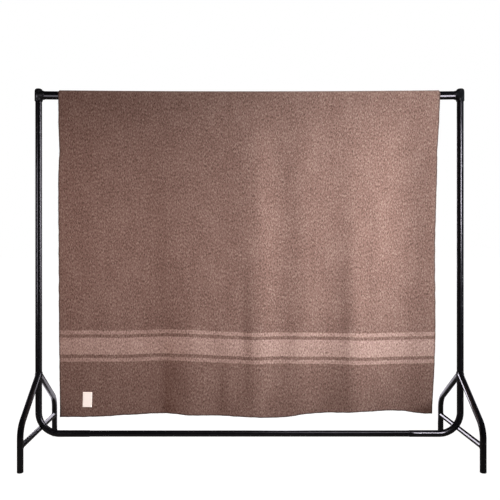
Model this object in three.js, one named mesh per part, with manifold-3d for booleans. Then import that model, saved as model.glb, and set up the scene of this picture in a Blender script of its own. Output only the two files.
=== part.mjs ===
// A wool blanket hung over a free-standing garment rail.
// Millimetres. +X runs along the rail, -Y is the front, Z = 0 is the floor, and the origin is on the
// floor midway between the four feet.

import * as THREE from "three";
import { mergeVertices } from "three/addons/utils/BufferGeometryUtils.js";
import Module from "manifold-3d";

const wasm = await Module();
wasm.setup();

// Driving dimensions of the stand.
const seatGap = 0.3; // clearance left where two pieces meet
const uprightSpacing = 1796;
const uprightDiameter = 28;
const railDiameter = 34.9;
const railHeight = 1522; // rail's centre line at its ends
const railSag = 5; // how far the rail's middle hangs below its ends
const railSteps = 18;
const barDiameter = 26;
const barHeight = 81; // centre line of the low bar
const barHalfLength = 680; // where the bar plugs into the two uprights' tails
const uprightBendRadius = 90;
const legDiameter = 25;
const legInset = 1; // how far the legs stand inside the uprights' own planes
const legReach = 239; // from the rail's plane to a foot's centre
const legKneeHeight = 172; // where a leg's two straight runs would meet
const legTopHeight = 338; // where a leg's sloping run would meet the upright's centre line
const legBendRadius = 80;
const braceDiameter = 21;
const tubeSides = 16;
const railSides = 24; // one corner every 15 degrees, as the blanket's own bend has
const bendSteps = 8;
const plug = { height: 7, edge: 2.5 };
const fitting = {
  radius: 17,
  foot: 1496, // lowest point of the sleeve
  shoulder: 1536, // where the dome starts
  crown: 1550,
  socketDepth: 22,
  bossRadius: 19, // of the side boss at the sleeve
  bossReach: 26, // from the sleeve's axis to the rail's end
};

// Driving dimensions of the blanket. It is cut 1626 by 2032 mm, and its long fall hangs in front.
const clothThickness = 4;
const clothColumns = 44;
const frontRows = 15;
const wrapRows = 12;
const backRows = 7;
const backHemHeight = 904;
const frontStandOff = 15; // how far the front fall swings forward of the rail's own front
const backStandOff = 8;
const label = { width: 38.5, height: 64, thickness: 0.8, x: -683, z: 234, tilt: -1.5, gap: 0.45 };

// Side edges of the two falls, from the rail (share 0) to the hem (share 1).
const frontEdges = [
  { share: 0.0, left: -809, right: 806 },
  { share: 0.1, left: -807, right: 799 },
  { share: 0.17, left: -802, right: 791 },
  { share: 0.25, left: -805, right: 788 },
  { share: 0.45, left: -804, right: 780 },
  { share: 0.82, left: -801, right: 779 },
  { share: 1.0, left: -798, right: 767 },
];
const backEdges = [
  { share: 0.0, left: -809, right: 806 },
  { share: 0.5, left: -804, right: 789 },
  { share: 1.0, left: -802, right: 778 },
];

// Height of the front hem above the floor.
const frontHem = [
  { x: -809, height: 160 },
  { x: -590, height: 162 },
  { x: -455, height: 169 },
  { x: -330, height: 174.5 },
  { x: -250, height: 171 },
  { x: -117, height: 168 },
  { x: -10, height: 163 },
  { x: 120, height: 158.5 },
  { x: 235, height: 171.5 },
  { x: 350, height: 178 },
  { x: 480, height: 183 },
  { x: 655, height: 182 },
  { x: 700, height: 176 },
  { x: 809, height: 175 },
];

// Soft upright folds. Each is a swell (positive, away from the rail) or a hollow (negative) at x, which
// fades out over its own width to the left and right, with its depth near the rail, midway and at the hem.
const frontFolds = [
  { x: -460, leftWidth: 190, rightWidth: 90, upper: -7, middle: -11, hem: -16 },
  { x: -225, leftWidth: 75, rightWidth: 110, upper: 0, middle: 5, hem: 16 },
  { x: 15, leftWidth: 150, rightWidth: 64, upper: 14, middle: 18, hem: 15 },
  { x: 215, leftWidth: 70, rightWidth: 90, upper: 6, middle: 7, hem: 1 },
  { x: 300, leftWidth: 64, rightWidth: 58, upper: 0, middle: -2, hem: -10 },
  { x: 435, leftWidth: 64, rightWidth: 52, upper: 3, middle: 8, hem: 12 },
  { x: 645, leftWidth: 105, rightWidth: 95, upper: -13, middle: -18, hem: -17 },
];
const backFolds = [
  { x: -610, leftWidth: 120, rightWidth: 150, upper: 3, middle: 6, hem: 9 },
  { x: -250, leftWidth: 130, rightWidth: 110, upper: -2, middle: -4, hem: -6 },
  { x: 90, leftWidth: 140, rightWidth: 170, upper: 4, middle: 8, hem: 11 },
  { x: 520, leftWidth: 120, rightWidth: 130, upper: -2, middle: -4, hem: -5 },
];
const foldLevels = { upper: 0.25, middle: 0.6, hem: 1 };

// Worked out from the sizes above.
const halfSpacing = uprightSpacing / 2;
const legPlane = halfSpacing - legInset;
const uprightRadius = uprightDiameter / 2;
const railRadius = railDiameter / 2;
const legRadius = legDiameter / 2;
const braceRadius = braceDiameter / 2;
const railHalfLength = halfSpacing - fitting.bossReach - seatGap;
const bendMiddle = railRadius + seatGap + clothThickness / 2; // the blanket's mid-surface over the rail
const bendCentreHeight = barHeight + uprightBendRadius;
const braceToBend = uprightRadius + braceRadius + seatGap;
const braceBeside = uprightBendRadius - legInset; // from the bend's centre to the brace, along X
const braceBelow = Math.sqrt((uprightBendRadius + braceToBend) ** 2 - braceBeside ** 2);
const braceHeight = bendCentreHeight - braceBelow; // the brace just clears the outside of the bend

const blackSteel = new THREE.MeshStandardMaterial({ color: 0x111214, roughness: 0.35, metalness: 0.1 });
const blackPlastic = new THREE.MeshStandardMaterial({ color: 0x0c0c0d, roughness: 0.6, metalness: 0 });
const brownWool = new THREE.MeshStandardMaterial({ color: 0x7a6259, roughness: 1, metalness: 0 });
const creamTape = new THREE.MeshStandardMaterial({ color: 0xefdfd3, roughness: 0.9, metalness: 0 });

// Three.js geometry to a solid and back, for cuts and joins.
function solidOf(geometry) {
  const bare = geometry.clone();
  bare.deleteAttribute("normal");
  bare.deleteAttribute("uv");
  const merged = mergeVertices(bare, 1e-3);
  const vertProperties = merged.attributes.position.array;
  const triVerts = new Uint32Array(merged.index.array);
  return new wasm.Manifold(new wasm.Mesh({ numProp: 3, vertProperties, triVerts }));
}

function geometryOf(solid) {
  const mesh = solid.getMesh();
  const geometry = new THREE.BufferGeometry();
  geometry.setAttribute("position", new THREE.BufferAttribute(mesh.vertProperties, 3));
  geometry.setIndex(new THREE.BufferAttribute(mesh.triVerts, 1));
  geometry.computeVertexNormals();
  return geometry;
}

// A tube's centre line through given stations, one extrusion step for each stretch between them.
class StationPath extends THREE.Curve {
  constructor(stations) {
    super();
    this.stations = stations;
  }
  get steps() {
    return this.stations.length - 1;
  }
  getUtoTmapping(u) {
    return u;
  }
  getPoint(t, target = new THREE.Vector3()) {
    const place = Math.min(Math.max(t, 0), 1) * this.steps;
    const start = Math.min(Math.floor(place), this.steps - 1);
    return target.lerpVectors(this.stations[start], this.stations[start + 1], place - start);
  }
}

// The stations of a straight run, a round bend at the corner and a second straight run.
function bentStations(start, corner, end, radius) {
  const into = corner.clone().sub(start).normalize();
  const out = end.clone().sub(corner).normalize();
  const turn = into.angleTo(out);
  const tangentLength = radius * Math.tan(turn / 2);
  const inward = out.clone().addScaledVector(into, -out.dot(into)).normalize();
  const bendStart = corner.clone().addScaledVector(into, -tangentLength);
  const bendCentre = bendStart.clone().addScaledVector(inward, radius);
  const stations = [start];
  for (let step = 0; step <= bendSteps; step++) {
    const angle = (turn * step) / bendSteps;
    stations.push(
      bendCentre
        .clone()
        .addScaledVector(inward, -radius * Math.cos(angle))
        .addScaledVector(into, radius * Math.sin(angle)),
    );
  }
  stations.push(end);
  return stations;
}

function tubeGeometry(stations, diameter, sides) {
  const section = new THREE.Shape().absarc(0, 0, diameter / 2, 0, 2 * Math.PI);
  const extrudePath = new StationPath(stations);
  return new THREE.ExtrudeGeometry(section, {
    curveSegments: sides / 2,
    steps: extrudePath.steps,
    extrudePath,
  });
}

const at = (x, y, z) => new THREE.Vector3(x, y, z);

// Height of the rail's centre line: a shallow parabola between its two ends.
const railCentre = (x) => railHeight - railSag * (1 - (x / railHalfLength) ** 2);

function railGeometry() {
  const stations = [];
  for (let step = 0; step <= railSteps; step++) {
    const x = railHalfLength * ((2 * step) / railSteps - 1);
    stations.push(at(x, 0, railCentre(x)));
  }
  return tubeGeometry(stations, railDiameter, railSides);
}

// An upright and its tail are one tube, bent at the bottom to run along the floor.
function uprightStations(side) {
  const x = side * halfSpacing;
  const top = at(x, 0, fitting.foot + fitting.socketDepth);
  return bentStations(top, at(x, 0, barHeight), at(side * barHalfLength, 0, barHeight), uprightBendRadius);
}

function barGeometry() {
  const reach = barHalfLength - seatGap;
  return tubeGeometry([at(-reach, 0, barHeight), at(reach, 0, barHeight)], barDiameter, tubeSides);
}

// A leg stands on the floor, bends inwards at the knee and is coped to fit the upright's side.
function legGeometry(side, facing) {
  const x = side * legPlane;
  const foot = at(x, facing * legReach, plug.height + seatGap);
  const knee = at(x, facing * legReach, legKneeHeight);
  const meeting = at(x, 0, legTopHeight);
  const leg = tubeGeometry(bentStations(foot, knee, meeting, legBendRadius), legDiameter, tubeSides);
  const copeDiameter = uprightDiameter + 2 * seatGap;
  const copeX = side * halfSpacing;
  const copeEnds = [at(copeX, 0, legKneeHeight), at(copeX, 0, 2 * legTopHeight)];
  const cope = tubeGeometry(copeEnds, copeDiameter, 2 * tubeSides);
  return geometryOf(solidOf(leg).subtract(solidOf(cope)));
}

// A brace ties a front leg to a back leg and is coped to fit both.
function braceGeometry(side) {
  const x = side * legPlane;
  const ends = [at(x, -legReach, braceHeight), at(x, legReach, braceHeight)];
  let brace = solidOf(tubeGeometry(ends, braceDiameter, tubeSides));
  for (const facing of [-1, 1]) {
    const y = facing * legReach;
    const copeDiameter = legDiameter + 2 * seatGap;
    const cope = tubeGeometry([at(x, y, 0), at(x, y, 2 * braceHeight)], copeDiameter, 2 * tubeSides);
    brace = brace.subtract(solidOf(cope));
  }
  return geometryOf(brace);
}

// Turned plug in a leg's open end, with a rounded edge and a flat foot.
function plugGeometry() {
  const profile = [new THREE.Vector2(0, 0)];
  for (let step = 0; step <= 4; step++) {
    const angle = (Math.PI / 2) * (step / 4);
    profile.push(
      new THREE.Vector2(
        legRadius - plug.edge * (1 - Math.sin(angle)),
        plug.edge * (1 - Math.cos(angle)),
      ),
    );
  }
  profile.push(new THREE.Vector2(legRadius, plug.height), new THREE.Vector2(0, plug.height));
  return new THREE.LatheGeometry(profile, tubeSides).rotateX(Math.PI / 2);
}

// A domed sleeve over the upright's top, with a tapered boss that meets the rail's end.
function fittingGeometry(side) {
  const domeSteps = 6;
  const sleeveProfile = [
    new THREE.Vector2(0, fitting.foot),
    new THREE.Vector2(fitting.radius, fitting.foot),
  ];
  for (let step = 0; step <= domeSteps; step++) {
    const angle = (Math.PI / 2) * (step / domeSteps);
    sleeveProfile.push(
      new THREE.Vector2(
        step < domeSteps ? fitting.radius * Math.cos(angle) : 0,
        fitting.shoulder + (fitting.crown - fitting.shoulder) * Math.sin(angle),
      ),
    );
  }
  const bossProfile = [
    new THREE.Vector2(0, 0),
    new THREE.Vector2(fitting.bossRadius, 0),
    new THREE.Vector2(fitting.bossRadius, fitting.radius * 0.6),
    new THREE.Vector2(railRadius, fitting.bossReach),
    new THREE.Vector2(0, fitting.bossReach),
  ];
  const x = side * halfSpacing;
  const sleeve = new THREE.LatheGeometry(sleeveProfile, railSides).rotateX(Math.PI / 2).translate(x, 0, 0);
  const boss = new THREE.LatheGeometry(bossProfile, railSides)
    .rotateZ((side * Math.PI) / 2)
    .translate(x, 0, railHeight);
  const socketTop = fitting.foot + fitting.socketDepth + seatGap;
  const socketEnds = [at(x, 0, fitting.foot - fitting.socketDepth), at(x, 0, socketTop)];
  const socket = tubeGeometry(socketEnds, uprightDiameter + 4 * seatGap, railSides);
  return geometryOf(solidOf(sleeve).add(solidOf(boss)).subtract(solidOf(socket)));
}

// A smooth value between a table's rows.
function tableCurve(rows, from, value) {
  const places = rows.map((row) => row[from]);
  const values = rows.map((row) => row[value]);
  const curve = new THREE.CubicInterpolant(places, values, 1, new Float32Array(1));
  const [first, last] = [places[0], places[places.length - 1]];
  return (place) => curve.evaluate(Math.min(Math.max(place, first), last))[0];
}

const frontLeft = tableCurve(frontEdges, "share", "left");
const frontRight = tableCurve(frontEdges, "share", "right");
const backLeft = tableCurve(backEdges, "share", "left");
const backRight = tableCurve(backEdges, "share", "right");
const frontHemHeight = tableCurve(frontHem, "x", "height");

// A fold's depth at a share of the fall: none on the rail itself, then the table's three depths.
function foldDepth(fold, share) {
  const { upper, middle } = foldLevels;
  if (share < upper) return fold.upper * THREE.MathUtils.smoothstep(share, 0, upper);
  if (share < middle) return THREE.MathUtils.mapLinear(share, upper, middle, fold.upper, fold.middle);
  return THREE.MathUtils.mapLinear(share, middle, foldLevels.hem, fold.middle, fold.hem);
}

function relief(folds, standOff, x, share) {
  let depth = standOff * THREE.MathUtils.smoothstep(share, 0, foldLevels.upper);
  for (const fold of folds) {
    const width = x < fold.x ? fold.leftWidth : fold.rightWidth;
    depth += foldDepth(fold, share) * Math.exp(-(((x - fold.x) / width) ** 2));
  }
  return depth;
}

// The blanket's mid-surface on either fall, at a share of the way across and of the way down.
function frontPoint(across, share) {
  const x = THREE.MathUtils.lerp(frontLeft(share), frontRight(share), across);
  const z = THREE.MathUtils.lerp(railCentre(x), frontHemHeight(x), share);
  return at(x, -bendMiddle - relief(frontFolds, frontStandOff, x, share), z);
}

function backPoint(across, share) {
  const x = THREE.MathUtils.lerp(backLeft(share), backRight(share), across);
  const z = THREE.MathUtils.lerp(railCentre(x), backHemHeight, share);
  return at(x, bendMiddle + relief(backFolds, backStandOff, x, share), z);
}

// A point beside the mid-surface, moved out along the cloth's own normal.
function offsetPoint(surface, facing, across, share, distance) {
  const nudge = 1e-3;
  const [low, high] = [Math.max(share - nudge, 0), Math.min(share + nudge, 1)];
  const acrossStep = surface(across + nudge, share).sub(surface(across - nudge, share));
  const downStep = surface(across, high).sub(surface(across, low));
  const outward = acrossStep.cross(downStep).normalize().multiplyScalar(facing);
  if (share === 0) outward.set(0, facing, 0);
  return surface(across, share).addScaledVector(outward, distance);
}

// Rows of the sheet run from the back hem, over the rail, to the front hem.
function clothPoint(across, row, distance) {
  if (row < backRows) return offsetPoint(backPoint, 1, across, 1 - row / backRows, distance);
  const wrapRow = row - backRows;
  if (wrapRow > wrapRows) {
    return offsetPoint(frontPoint, -1, across, (wrapRow - wrapRows) / frontRows, distance);
  }
  const angle = (Math.PI * wrapRow) / wrapRows;
  const x = THREE.MathUtils.lerp(frontLeft(0), frontRight(0), across);
  const reach = bendMiddle + distance;
  return at(x, reach * Math.cos(angle), railCentre(x) + reach * Math.sin(angle));
}

// Moves every corner of a flat slab, which spans -0.5 to 0.5 each way, to its place.
function shapeSlab(columns, rows, place) {
  const slab = new THREE.BoxGeometry(1, 1, 1, columns, 1, rows);
  const corners = slab.attributes.position;
  for (let i = 0; i < corners.count; i++) {
    const point = place(corners.getX(i) + 0.5, corners.getY(i), corners.getZ(i) + 0.5);
    corners.setXYZ(i, point.x, point.y, point.z);
  }
  slab.computeVertexNormals();
  return slab;
}

function blanketGeometry() {
  const rows = backRows + wrapRows + frontRows;
  return shapeSlab(clothColumns, rows, (across, side, along) =>
    clothPoint(across, Math.round(along * rows), side * clothThickness),
  );
}

// The label lies on the front fall and follows its curve.
function labelGeometry() {
  const middleDistance = clothThickness / 2 + label.gap + label.thickness / 2;
  const tilt = THREE.MathUtils.degToRad(label.tilt);
  return shapeSlab(3, 4, (across, side, along) => {
    const sideways = (across - 0.5) * label.width;
    const downward = (along - 0.5) * label.height;
    const x = label.x + sideways * Math.cos(tilt) + downward * Math.sin(tilt);
    const z = label.z - downward * Math.cos(tilt) + sideways * Math.sin(tilt);
    const share = (railCentre(x) - z) / (railCentre(x) - frontHemHeight(x));
    const clothAcross = (x - frontLeft(share)) / (frontRight(share) - frontLeft(share));
    return offsetPoint(frontPoint, -1, clothAcross, share, middleDistance + side * label.thickness);
  });
}

const part = new THREE.Group();

function addPiece(name, geometry, material) {
  const mesh = new THREE.Mesh(geometry, material);
  mesh.name = name;
  part.add(mesh);
  return mesh;
}

addPiece("blanket", blanketGeometry(), brownWool);
addPiece("label", labelGeometry(), creamTape);
addPiece("top_rail", railGeometry(), blackSteel);
addPiece("bottom_bar", barGeometry(), blackSteel);
for (const [sideName, side] of [["left", -1], ["right", 1]]) {
  addPiece(`corner_fitting_${sideName}`, fittingGeometry(side), blackPlastic);
  const upright = tubeGeometry(uprightStations(side), uprightDiameter, tubeSides);
  addPiece(`upright_${sideName}`, upright, blackSteel);
  addPiece(`brace_${sideName}`, braceGeometry(side), blackSteel);
  for (const [faceName, facing] of [["front", -1], ["back", 1]]) {
    addPiece(`leg_${faceName}_${sideName}`, legGeometry(side, facing), blackSteel);
    const foot = addPiece(`foot_plug_${faceName}_${sideName}`, plugGeometry(), blackPlastic);
    foot.position.set(side * legPlane, facing * legReach, 0);
  }
}

export default part;
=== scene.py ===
import math

import bpy
import numpy as np
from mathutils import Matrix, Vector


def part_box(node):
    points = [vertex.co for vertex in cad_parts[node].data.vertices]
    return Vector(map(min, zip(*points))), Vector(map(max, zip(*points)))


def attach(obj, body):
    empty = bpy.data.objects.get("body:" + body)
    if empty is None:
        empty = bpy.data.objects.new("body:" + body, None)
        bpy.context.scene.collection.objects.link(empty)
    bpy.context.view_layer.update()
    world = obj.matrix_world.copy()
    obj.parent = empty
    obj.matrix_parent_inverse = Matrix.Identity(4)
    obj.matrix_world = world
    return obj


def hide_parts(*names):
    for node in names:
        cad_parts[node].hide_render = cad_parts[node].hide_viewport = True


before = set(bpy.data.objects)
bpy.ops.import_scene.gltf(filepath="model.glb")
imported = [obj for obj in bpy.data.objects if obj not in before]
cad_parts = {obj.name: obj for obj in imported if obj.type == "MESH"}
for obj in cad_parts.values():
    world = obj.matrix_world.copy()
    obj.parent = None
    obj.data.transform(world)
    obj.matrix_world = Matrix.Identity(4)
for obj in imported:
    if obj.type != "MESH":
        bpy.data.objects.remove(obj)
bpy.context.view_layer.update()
print("frame loaded:", len(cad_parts), "nodes")

mm = 0.001

# camera: square on to the rail's plane, a little left of its middle; pixels are of a 500 x 500 frame
viewpoint = dict(
    x=-0.095, distance=2.637, height=0.863, focalPixels=618.9, axisPixel=227.15, framePixels=500,
    sensor=36,  # mm
)


def addObject(name, data):
    added = bpy.data.objects.new(name, data)
    bpy.context.collection.objects.link(added)
    return added


def addCamera():
    data = bpy.data.cameras.new("camera")
    data.sensor_width = viewpoint["sensor"]
    data.lens = viewpoint["sensor"] * viewpoint["focalPixels"] / viewpoint["framePixels"]
    data.shift_x = 0.5 - viewpoint["axisPixel"] / viewpoint["framePixels"]
    camera = addObject("camera", data)
    camera.location = (viewpoint["x"], -viewpoint["distance"], viewpoint["height"])
    camera.rotation_euler = (math.pi / 2, 0, 0)
    bpy.context.scene.camera = camera


addCamera()
print("camera placed")


# mesh helpers

def addPiece(name, points, faces, material):
    mesh = bpy.data.meshes.new(name)
    mesh.from_pydata(points, [], faces)
    mesh.polygons.foreach_set("use_smooth", np.ones(len(faces), dtype=bool))
    mesh.materials.append(material)
    piece = addObject(name, mesh)
    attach(piece, "root")
    return piece


def addUvMap(piece, name, places):
    layer = piece.data.uv_layers.new(name=name)
    corner = np.empty(len(piece.data.loops), dtype=np.int32)
    piece.data.loops.foreach_get("vertex_index", corner)
    layer.data.foreach_set("uv", places[corner].astype(np.float32).ravel())


# equal steps round a circle
def roundTurns(count):
    return np.linspace(0, 2 * np.pi, count, endpoint=False)


# values side by side along a new last axis, each stretched to the shape of the others
def sideBySide(*values):
    return np.stack(np.broadcast_arrays(*values), axis=-1)


# quads of a grid of rows x columns, facing column step x row step; a closed grid joins its last column to its
# first, and a looped one its last row to its first as well
def gridFaces(rows, columns, closed=False, looped=False):
    rowSteps, columnSteps = np.arange(rows - (not looped)), np.arange(columns - (not closed))
    row, column = np.meshgrid(rowSteps, columnSteps, indexing="ij")
    below, following = (row + 1) % rows, (column + 1) % columns
    near, far = row * columns, below * columns
    return sideBySide(near + column, near + following, far + following, far + column).reshape(-1, 4)


# rings of points (rings x sides x 3) skinned into a tube, each end closed by a fan to the ring's own middle
def tubeMesh(rings):
    count, sides = rings.shape[:2]
    points = np.concatenate([rings.reshape(-1, 3), rings[[0, -1]].mean(axis=1)])
    side = np.arange(sides)
    following = (side + 1) % sides
    first = sideBySide(count * sides, following, side)
    lastRing = (count - 1) * sides
    last = sideBySide(count * sides + 1, lastRing + side, lastRing + following)
    return points, gridFaces(count, sides, closed=True).tolist() + first.tolist() + last.tolist()


# the two faces of a sheet share their border points, so that they close on each other; over is the face on
# the side of column step x row step
def sheetMesh(over, under):
    rows, columns = over.shape[:2]
    index = np.arange(rows * columns).reshape(rows, columns)
    index[1:-1, 1:-1] = rows * columns + np.arange((rows - 2) * (columns - 2)).reshape(rows - 2, -1)
    faces = gridFaces(rows, columns)
    return sheetValues(over, under), np.concatenate([faces, index.ravel()[faces[:, ::-1]]]).tolist()


# values for sheetMesh's points: all of the over face, then the under face without its border
def sheetValues(over, under):
    kinds = over.shape[-1]
    return np.concatenate([over.reshape(-1, kinds), under[1:-1, 1:-1].reshape(-1, kinds)])


# a circle carried along a flat path: middle + radius * (cos t * sideways + sin t * planeNormal),
# where sideways is planeNormal x tangent
def sweepCircle(path, radius, planeNormal, sides):
    path = np.asarray(path, dtype=float)
    planeNormal = np.asarray(planeNormal, dtype=float)
    sideways = np.cross(planeNormal, unit(np.gradient(path, axis=0)))
    turn = roundTurns(sides)[None, :, None]
    reach = np.broadcast_to(np.asarray(radius, dtype=float), (len(path),))[:, None, None]
    offset = np.cos(turn) * sideways[:, None, :] + np.sin(turn) * planeNormal
    return path[:, None, :] + reach * offset


# a profile of (radius, height) pairs turned about the Z axis: (radius cos t, radius sin t, height)
def turnProfile(profile, sides):
    profile = np.asarray(profile, dtype=float)
    turn = roundTurns(sides)
    circle = sideBySide(np.cos(turn), np.sin(turn), 0)
    return profile[:, 0, None, None] * circle + profile[:, 1, None, None] * np.array([0, 0, 1])


# straight runs joined by a round bend at the corner: bend = middle - inward * R cos t + into * R sin t
def bentPath(start, corner, end, radius, bendSteps=20, runSteps=6):
    start, corner, end = (np.asarray(point, dtype=float) for point in (start, corner, end))
    into, out = unit(corner - start), unit(end - corner)
    turn = math.acos(np.clip(into @ out, -1, 1))
    inward = unit(out - into * (into @ out))
    bendStart = corner - into * radius * math.tan(turn / 2)
    bendEnd = corner + out * radius * math.tan(turn / 2)
    middle = bendStart + inward * radius
    angle = np.linspace(0, turn, bendSteps + 1)[1:-1, None]
    bend = middle - inward * radius * np.cos(angle) + into * radius * np.sin(angle)
    share = np.linspace(0, 1, runSteps + 1)[:, None]
    return np.concatenate([start + (bendStart - start) * share, bend, bendEnd + (end - bendEnd) * share])


# a smooth curve through a table's rows: cubic pieces whose slope at a row comes from its neighbours
def tableCurve(places, values, at):
    places, values = np.asarray(places, dtype=float), np.asarray(values, dtype=float)
    slopes = np.gradient(values, places)
    at = np.clip(at, places[0], places[-1])
    piece = np.clip(np.searchsorted(places, at, side="right") - 1, 0, len(places) - 2)
    span = places[piece + 1] - places[piece]
    t = (at - places[piece]) / span
    start = (1 + 2 * t) * (1 - t) ** 2 * values[piece] + t * (1 - t) ** 2 * span * slopes[piece]
    end = t * t * (3 - 2 * t) * values[piece + 1] - t * t * (1 - t) * span * slopes[piece + 1]
    return start + end


# 3 t^2 - 2 t^3, where t is the share of the way from low to high
def smoothStep(value, low, high):
    t = np.clip((value - low) / (high - low), 0, 1)
    return t * t * (3 - 2 * t)


# each vector over its own length
def unit(vectors):
    return vectors / np.linalg.norm(vectors, axis=-1, keepdims=True)


# soft lumps: a sum of plane waves with seeded headings, lengths and phases, mostly between -1 and 1
def softLumps(u, v, shortest, longest, waves, seed):
    random = np.random.default_rng(seed)
    heading = random.uniform(0, 2 * np.pi, waves)
    stride = 2 * np.pi / random.uniform(shortest, longest, waves)
    phase = random.uniform(0, 2 * np.pi, waves)
    total = np.zeros(np.shape(u))
    for turn, pace, offset in zip(heading, stride, phase):
        total += np.sin(pace * (u * math.cos(turn) + v * math.sin(turn)) + offset)
    return total / math.sqrt(2 * waves)


# shader helpers

# a socket is linked to its input, a plain value is set on it
def setInputs(tree, node, values):
    for name, value in values.items():
        if isinstance(value, bpy.types.NodeSocket):
            tree.links.new(value, node.inputs[name])
        else:
            node.inputs[name].default_value = value


def addNode(tree, kind, values=None, **settings):
    node = tree.nodes.new("ShaderNode" + kind)
    for name, setting in settings.items():
        setattr(node, name, setting)
    setInputs(tree, node, values or {})
    return node


def calc(tree, operation, *values):
    return addNode(tree, "Math", dict(enumerate(values)), operation=operation).outputs[0]


# value * factor + base
def scaled(tree, value, factor, base):
    return calc(tree, "MULTIPLY_ADD", value, factor, base)


# (value - 0.5) * factor + base
def sway(tree, value, factor, base):
    return scaled(tree, calc(tree, "SUBTRACT", value, 0.5), factor, base)


# a sine that repeats at every pitch
def wave(tree, length, pitch):
    return calc(tree, "SINE", calc(tree, "MULTIPLY", length, 2 * math.pi / pitch))


# first where share is 0, second where it is 1
def blend(tree, share, first, second):
    values = {0: share, 6: first, 7: second}
    return addNode(tree, "Mix", values, data_type="RGBA").outputs[2]


# 0 at low, 1 at high, smooth between and flat beyond
def softEdge(tree, value, low, high):
    values = {"Value": value, "From Min": low, "From Max": high}
    return addNode(tree, "MapRange", values, interpolation_type="SMOOTHSTEP").outputs["Result"]


# noise on the given coordinates, stretched by its own scale along each of them
def noise(tree, place, scale, detail=3.0, roughness=0.55):
    stretched = addNode(tree, "VectorMath", {0: place, 1: scale}, operation="MULTIPLY")
    values = {"Vector": stretched.outputs[0], "Scale": 1.0, "Detail": detail, "Roughness": roughness}
    return addNode(tree, "TexNoise", values).outputs["Fac"]


def bumpNormal(tree, height, strength, depth):
    values = {"Strength": strength, "Distance": depth, "Height": height}
    return addNode(tree, "Bump", values).outputs["Normal"]


def newMaterial(name, constants):
    material = bpy.data.materials.new(name)
    material.use_nodes = True
    shader = material.node_tree.nodes["Principled BSDF"]
    setInputs(material.node_tree, shader, constants)
    return material, material.node_tree, shader


def newGroup(name, inputs, outputs):
    group = bpy.data.node_groups.new(name, "ShaderNodeTree")
    for way, sockets in (("INPUT", inputs), ("OUTPUT", outputs)):
        for title, kind in sockets.items():
            group.interface.new_socket(title, in_out=way, socket_type="NodeSocket" + kind)
    return group, group.nodes.new("NodeGroupInput"), group.nodes.new("NodeGroupOutput")


def useGroup(tree, group, values):
    return addNode(tree, "Group", values, node_tree=group)


# effects that more than one material uses

fibreLook = dict(
    upright=(1.0, 0.36, 1.0),  # stretch of each noise across and along the cloth
    level=(0.32, 0.9, 1.0), rounder=(0.42, 0.32, 1.0), uprightShare=0.66, rounderHeight=0.7,
)


# fibres: long thin noise both ways plus rounder mottling; Strands is about 0.5 +- 0.2, Relief the height
def fibreGroup():
    inputs = {"Place": "Vector", "Fineness": "Float", "Mottle": "Float"}
    group, entry, leave = newGroup("spunFibres", inputs, {"Strands": "Float", "Relief": "Float"})
    values = {0: entry.outputs["Place"], "Scale": entry.outputs["Fineness"]}
    place = addNode(group, "VectorMath", values, operation="SCALE").outputs[0]
    upright = noise(group, place, fibreLook["upright"])
    level = noise(group, place, fibreLook["level"])
    rounder = noise(group, place, fibreLook["rounder"], detail=2.0)
    strands = scaled(group, calc(group, "SUBTRACT", upright, level), fibreLook["uprightShare"], level)
    mottled = sway(group, rounder, entry.outputs["Mottle"], strands)
    height = scaled(group, rounder, fibreLook["rounderHeight"], strands)
    setInputs(group, leave, {"Strands": mottled, "Relief": height})
    return group


paintLook = dict(
    streaks=(420.0, 420.0, 90.0),  # noise cells per metre
    cloud=(9.0, 9.0, 9.0), peel=(650.0, 650.0, 650.0), peelDepth=0.0003,
    wornRange=(0.66, 0.78),  # of the streaks
    scuffShare=0.4, scuffRoughness=0.2, cloudRoughness=0.06,
)


# handled paint: Scuff is a sparse 0-1 mask, Cloud a slow drift about 0.5 and Peel a fine orange-peel height
def paintGroup():
    outputs = {"Scuff": "Float", "Cloud": "Float", "Peel": "Float"}
    group, entry, leave = newGroup("handledPaint", {"Place": "Vector", "Scuffing": "Float"}, outputs)
    place = entry.outputs["Place"]
    streaks = noise(group, place, paintLook["streaks"], detail=4.0, roughness=0.7)
    worn = softEdge(group, streaks, *paintLook["wornRange"])
    scuff = calc(group, "MULTIPLY", worn, entry.outputs["Scuffing"])
    cloud = noise(group, place, paintLook["cloud"])
    peel = noise(group, place, paintLook["peel"], detail=1.0)
    setInputs(group, leave, {"Scuff": scuff, "Cloud": cloud, "Peel": peel})
    return group


spunFibres = fibreGroup()
handledPaint = paintGroup()


# blanket, in millimetres until its mesh is made

cloth = dict(
    width=1626.0, length=2032.0, thickness=4.0, railRadius=17.45, railGap=0.3,
    railHeight=1522.0, railSag=5.0, railHalf=871.7, backHem=904.0, frontStandOff=15.0,
    backStandOff=8.0, columns=180, frontRows=126, wrapRows=28, backRows=58, edgeRounding=2.6,
    edgeSteps=(0.0, 0.12, 0.45, 1.0, 1.8),  # extra lines of points beside each edge, for its round
    foldSettle=0.25,  # share of a fall in which its folds grow to full depth
    edgeWander=0.9,  # how far the edges stray
    wanderReach=14.0,  # how far into the cloth that is felt
    sideWaves=(14, 90, 9, 3),  # shortest and longest wave, number of waves, seed
    hemWaves=(16, 110, 9, 5),
    lumps=0.12,  # height of the felt's own unevenness
    lumpWaves=(16, 46, 26, 11),
    lumpsFrom=1.6,  # in bend radii from the top of the rail
    lumpsFull=160.0,
)
bendMiddle = cloth["railRadius"] + cloth["railGap"] + cloth["thickness"] / 2

# side edges of the two falls: share of the fall, left x, right x
frontEdges = np.array([
    (0.0, -809, 806),
    (0.1, -807, 799),
    (0.17, -802, 791),
    (0.25, -805, 788),
    (0.45, -804, 780),
    (0.82, -801, 779),
    (1.0, -798, 767),
])
backEdges = np.array([(0.0, -809, 806), (0.5, -804, 789), (1.0, -802, 778)])

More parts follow.
